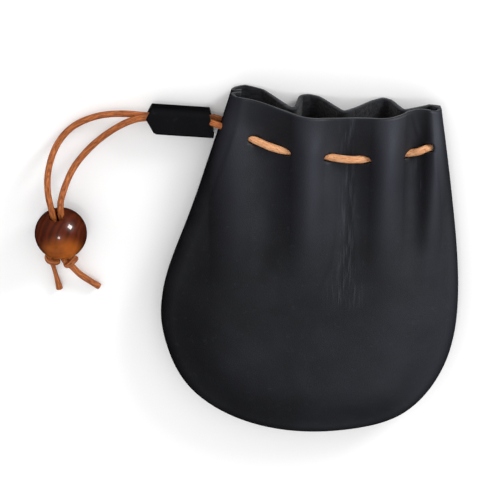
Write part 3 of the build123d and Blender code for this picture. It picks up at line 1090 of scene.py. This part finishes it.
@dataclass
class Cords:
    """The drawstring: its laced run, its two free strands and their knots."""

    plan: BagPlan
    front: Panel
    seat: BeadFrame
    exit_a: Point = (-35.6, 60.8, 3.25)
    exit_b: Point = (-35.6, 60.8, 10.05)
    inside_a: Point = (-31.6, 59.8, 3.2)
    inside_b: Point = (-31.6, 59.8, 11.6)
    run_a: tuple[Point, ...] = (
        (-37.35, 61.23, 3.3), (-39.4, 60.9, 4.6), (-45.0, 60.8, 4.7), (-53.0, 61.3, 4.6), (-62.5, 62.5, 4.6),
        (-72.5, 63.4, 4.7), (-81.5, 61.9, 3.6), (-90.5, 57.6, 2.7), (-96.6, 50.8, 4.2), (-99.6, 42.5, 8.6),
        (-99.7, 35.0, 13.4), (-98.16, 27.43, 14.5), (-96.02, 7.14, 6.25),
    )
    run_b: tuple[Point, ...] = (
        (-37.3, 61.2, 9.5), (-39.2, 60.9, 7.2), (-44.5, 60.8, 7.3), (-54.0, 61.9, 7.2), (-62.4, 62.8, 7.5),
        (-69.0, 60.9, 7.0), (-76.0, 56.6, 6.0), (-83.5, 50.0, 4.4), (-90.3, 42.4, 6.4), (-93.8, 35.0, 12.4),
        (-95.57, 27.7, 14.5), (-93.44, 7.42, 6.25),
    )
    length_a: float = 113.6
    length_b: float = 102.5
    proud: float = 1.5
    back_middle: float = 3.1

    def lacing_points(self) -> tuple[Point, ...]:
        """The laced run's points.

        It crosses the middle of the leather at each hole. Half way between two holes it stands a little
        further out where it shows and further in where it is hidden, along the front and then the back.
        """
        holes = np.array(self.front.holes)
        ahead = self.front.height(holes[:, 0], holes[:, 1]) - 0.5 * LEATHER
        front = self.weave(np.c_[holes, ahead], 1.0)
        back_holes = np.array(self.plan.holes)
        back = self.weave(np.c_[back_holes, np.full(len(back_holes), self.back_middle)], -0.6)
        top = front[-1, 2]
        half = 0.5 * (top + self.back_middle)
        turn = np.array([(46.2, 52.9, top - 1.6), (46.6, 52.9, half), (46.2, 52.9, 4.2)])
        route = np.vstack([self.inside_b, front, turn, back[::-1], self.inside_a])
        return tuple(map(tuple, route))

    def weave(self, crossings: Array, out: float) -> Array:
        """The crossings with a point half way between each two, by turns further out and further in."""
        middles = 0.5 * (crossings[:-1] + crossings[1:])
        middles[:, 2] += out * self.proud * np.where(np.arange(len(middles)) % 2 == 0, 1.0, -0.8)
        woven = np.empty((2 * len(crossings) - 1, 3))
        woven[0::2], woven[1::2] = crossings, middles
        return woven

    def build(
        self,
        pale: bpy.types.Material,
        tan: bpy.types.Material,
        runs_through: Sequence[bpy.types.Object],
    ) -> None:
        """Makes and dresses every piece of the cord.

        Args:
            pale: The finish of the laced run.
            tan: The finish of the free strands and knots.
            runs_through: The pieces that both strands run through; not used.
        """
        line = Route("lacing", self.lacing_points()).line()
        widths = ((0.0, 1.0), (0.06, 1.12), (0.44, 1.12), (0.5, 1.0), (1.0, 1.0))
        dress(Lace("lacing", line, widths, seed=11).build(), "bag", "drawstring", "cord_leather", pale)
        knots = (
            Knot(
                "knot_left", "knot_a", self.seat, -1.0, (-5.3, 0.3, -12.5),
                ((-100.0, -0.4, 3.6), (-99.5, -3.6, 2.7), (-98.4, -10.8, 1.35)), math.radians(-6.0),
                ((0.0, 0.95), (0.66, 0.98), (0.74, 0.66), (0.85, 0.74), (1.0, 1.06)), unit=2.4,
            ),
            Knot(
                "knot_right", "knot_b", self.seat, 1.0, (0.4, 0.5, -14.7),
                ((-90.3, -3.7, 3.3), (-86.9, -6.6, 2.4), (-82.7, -10.1, 1.35)), math.radians(52.0),
                ((0.0, 0.95), (0.66, 1.0), (1.0, 1.0)), rise=0.0, tuck=0.5, unit=2.8,
            ),
        )
        strands = (
            ("strand_outer", "strand_a", (self.inside_a, self.exit_a, *self.run_a), self.length_a, 12),
            ("strand_inner", "strand_b", (self.inside_b, self.exit_b, *self.run_b), self.length_b, 13),
        )
        for knot, (name, node, run, length, seed) in zip(knots, strands):
            tied = knot.build()
            line = Route(name, run).line()
            strand = Lace(name, line, seed=seed).build()
            dress(tied, "bag", knot.node, "cord_leather", tan)
            dress(strand, "bag", node, "cord_leather", tan)


@dataclass
class Slider:
    """The leather strip rolled round both strands."""

    middle: Point = (-49.6, 60.7, 5.9)
    angle: float = math.radians(-4.0)
    size: Flat = (12.3, 8.6)
    shift: float = -0.65
    corner: float = 2.6
    left: tuple[Flat, ...] = ((-6.8, -7.6), (1.2, -12.4), (5.5, -10.6))
    right: tuple[Flat, ...] = ((-6.8, 13.4), (0.4, 12.2), (5.5, 10.9))
    lap_at: float = -3.4
    overlap: float = 3.0
    columns: int = 61

    def loop(self) -> Array:
        """The strip's outer outline, clockwise from its lap, as a rectangle with round corners."""
        half_width, half_height = self.size[0] / 2.0, self.size[1] / 2.0
        quarter = np.linspace(0.0, 0.5 * math.pi, 12)
        arc = self.corner * np.stack([np.sin(quarter), np.cos(quarter)], axis=-1)
        arc = arc + (half_width - self.corner, half_height - self.corner)
        corners = [arc, arc[::-1] * (1.0, -1.0), -arc, arc[::-1] * (-1.0, 1.0)]
        lap = np.array([[self.lap_at, half_height]])
        return even_steps(np.concatenate([lap, *corners, lap]), 181)

    def build(self) -> bpy.types.Object:
        """The rolled strip.

        Its outline runs once round and on under its own lap, moving inwards by the leather's thickness over
        the last part. Along the cord, each point of the outline reaches from the left cut to the right one.
        """
        loop = self.loop()[:-1]
        count = len(loop)
        length = np.linalg.norm(np.diff(loop, axis=0), axis=1).sum()
        extra = int(self.overlap / length * count)
        index = np.arange(count + extra)
        along = np.gradient(np.vstack([loop, loop, loop]), axis=0)[count : 2 * count]
        inward = np.stack([along[:, 1], -along[:, 0]], axis=-1)
        inward = inward / np.linalg.norm(inward, axis=1)[:, None]
        sink = (LEATHER + 0.06) * smooth_step(index / count, 0.66, 0.93)
        outline = loop[index % count] + inward[index % count] * sink[:, None] + (self.shift, 0.0)
        share = np.linspace(0.0, 1.0, self.columns)
        start = np.interp(outline[:, 0], *np.array(self.left).T)
        end = np.interp(outline[:, 0], *np.array(self.right).T)
        x = start[:, None] + (end - start)[:, None] * share
        y, z = outline[:, :1], outline[:, 1:]
        sag = 0.16 * soft_noise(x, y, 6.0, 31)
        y, z = y * (1.0 + 0.02 * sag), z + sag * 0.6
        cos, sin = math.cos(self.angle), math.sin(self.angle)
        points = np.stack([x * cos - y * sin, x * sin + y * cos, z], axis=-1) + self.middle
        piece = new_piece("slider_roll", points.reshape(-1, 3), grid_faces(len(outline), self.columns))
        add_mask(piece, "gather", np.zeros(x.size))
        add_mask(piece, "wrinkle", np.zeros(x.size))
        thicken(piece, LEATHER - 0.1)
        return piece


# ---------------------------------------------------------------- the studio


@dataclass
class Studio:
    """A plain pale floor, soft light and the camera."""

    camera_at: Point = (-23.13, 270.81, 596.85)
    camera_tilt: float = math.radians(-24.0)
    lens: float = 120.0
    sensor: float = 36.0
    sky: float = 0.95
    floor_reach: float = 2500.0
    floor_height: float = -0.05
    leather: bpy.types.Collection | None = None

    def soft_box(
        self, name: str, at: Point, size: float, power: float, sheen_of: bpy.types.Collection | None = None
    ) -> None:
        """A square soft light aimed at the bag.

        Args:
            name: The lamp's name.
            at: Where it stands, in millimetres.
            size: Its side, in millimetres.
            power: Its power in watts.
            sheen_of: The pieces whose sheen it is for, where it lights nothing else.
        """
        light = bpy.data.lights.new(name, "AREA")
        light.size = size * MM
        light.energy = power
        lamp = bpy.data.objects.new(name, light)
        lamp.location = Vector(at) * MM
        aim = Vector((-10.0 * MM, 5.0 * MM, 0.0)) - lamp.location
        lamp.rotation_euler = aim.to_track_quat("-Z", "Y").to_euler()
        if sheen_of:
            light.color = (0.84, 0.9, 1.0)
            lamp.visible_diffuse = False
            lamp.light_linking.receiver_collection = sheen_of
        bpy.context.scene.collection.objects.link(lamp)

    def build(self) -> None:
        """Sets the floor, the lights, the sky and the camera."""
        reach, low = self.floor_reach, self.floor_height
        corners = [(-reach, -reach, low), (reach, -reach, low), (reach, reach, low), (-reach, reach, low)]
        floor = new_piece("floor", np.array(corners), np.array([[0, 1, 2, 3]]), smooth=False)
        floor.data.materials.append(Backdrop("paper").material())
        floor.visible_glossy = False
        world = bpy.data.worlds.new("studio")
        world.use_nodes = True
        sky = world.node_tree.nodes["Background"]
        sky.inputs["Color"].default_value = (1.0, 1.0, 1.0, 1.0)
        sky.inputs["Strength"].default_value = self.sky
        world.cycles_visibility.glossy = False
        bpy.context.scene.world = world
        self.soft_box("key", (460.0, 524.0, 282.0), 230.0, 3.0)
        self.soft_box("overhead", (-128.0, 74.0, 810.0), 130.0, 0.6)
        self.leather = bpy.data.collections.new("leather_pieces")
        self.soft_box("side_sheen", (620.0, 260.0, 420.0), 620.0, 7.0, sheen_of=self.leather)
        self.soft_box("foot_sheen", (260.0, -420.0, 520.0), 520.0, 1.4, sheen_of=self.leather)
        data = bpy.data.cameras.new("camera")
        data.lens = self.lens
        data.sensor_width = self.sensor
        data.clip_start = 0.01
        camera = bpy.data.objects.new("camera", data)
        camera.location = Vector(self.camera_at) * MM
        camera.rotation_euler = (self.camera_tilt, 0.0, 0.0)
        bpy.context.scene.collection.objects.link(camera)
        bpy.context.scene.camera = camera
        bpy.context.scene.view_settings.view_transform = "Standard"


def main() -> None:
    """Builds the studio and every piece of the bag, and reports each."""
    logging.basicConfig(level=logging.INFO, format="%(name)s %(message)s")
    studio = Studio()
    studio.build()
    plan = BagPlan()
    front = Panel(
        plan, Side.FRONT, "panel_front", "front_panel", (150.0, 168.0), 17000.0,
        holes=((-21.4, 56.5), (-10.6, 52.9), (6.9, 50.7), (19.1, 49.9), (36.8, 50.8), (43.0, 53.4)),
        rim_push=(
            (-30.2, 0.6), (-26.8, 1.5), (-21.3, 1.4), (-14.0, 0.4), (-4.9, -0.4), (11.6, -0.4), (20.7, 0.5),
            (32.2, 1.1), (37.5, 1.8), (43.4, 1.6), (48.2, 0.2),
        ),
        creases=(
            Crease(((35.2, 67.4), (36.6, 62.0), (38.4, 57.2)), 0.9, -0.3),
            Crease(((36.4, 67.2), (37.8, 61.8), (39.7, 56.8)), 0.8, 0.32),
            Crease(((12.9, 56.0), (13.4, 38.0), (13.0, 18.0), (10.6, -6.0)), 1.3, -0.2),
            Crease(((16.2, 47.0), (15.5, 30.0), (17.4, 6.0)), 1.1, 0.16),
            Crease(((10.6, 45.0), (10.9, 28.0), (8.4, 8.0), (3.4, -5.0)), 1.1, 0.16),
            Crease(((-14.0, 44.0), (-16.5, 18.0), (-22.0, -2.0)), 4.0, -0.5),
        ),
    )
    back = Panel(
        plan, Side.BACK, "panel_back", "back_panel", (150.0, 168.0), 17000.0, holes=plan.holes,
        rim_folds=(
            (-31.0, 4.5), (-29.5, 2.0), (-25.0, 0.6), (-17.9, 2.0), (-12.3, 8.0), (-9.4, 12.4), (-6.6, 15.6),
            (-5.2, 3.0), (-0.6, 0.4), (3.1, 1.6), (6.7, 7.0), (11.5, 14.6), (16.6, 10.0), (21.8, 4.0),
            (26.9, 0.6), (30.2, 2.4), (33.9, 12.6), (38.2, 9.0), (42.2, 6.0), (46.0, 3.0), (49.0, 3.0),
        ),
        rim_push=(
            (-30.2, 0.8), (-25.0, 2.5), (-17.9, 2.4), (-12.3, 1.3), (-6.5, 0.8), (-4.5, 2.4), (3.1, 2.2),
            (11.5, 1.4), (21.8, 2.2), (27.0, 2.6), (34.0, 1.6), (42.0, 0.7), (48.2, 0.1),
        ),
    )
    grain = GrainLeather("grain_leather").material()
    flesh = FleshLeather("flesh_leather").material()
    edge = FleshLeather("raw_edge", deep=(20, 21, 24), light=(50, 52, 58), depth=0.08).material()
    for panel in (front, back):
        studio.leather.objects.link(panel.make(grain, flesh, edge))
    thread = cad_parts["seam_thread"]
    thread.data.materials.clear()
    thread.data.materials.append(WaxedThread("waxed_thread").material())
    seat = BeadFrame()
    bead = Bead(seat).build()
    dress(bead, "bead", "bead", "bead_wood", LacqueredWood("lacquered_wood").material())
    slider = Slider().build()
    dark = GrainLeather("slider_leather", deep=(7, 7, 9), worn_and_lit=(15, 15, 19), gloss=0.1).material()
    dress(slider, "slider", "slider", "slider_leather", dark, flesh, edge)
    studio.leather.objects.link(slider)
    pale = LaceLeather("lace_pale").material()
    tan = LaceLeather("lace_tan", light=(206, 122, 62), deep=(130, 64, 27), pit=(66, 28, 10)).material()
    Cords(plan, front, seat).build(pale, tan, (bead, slider))


if __name__ == "__main__":
    main()
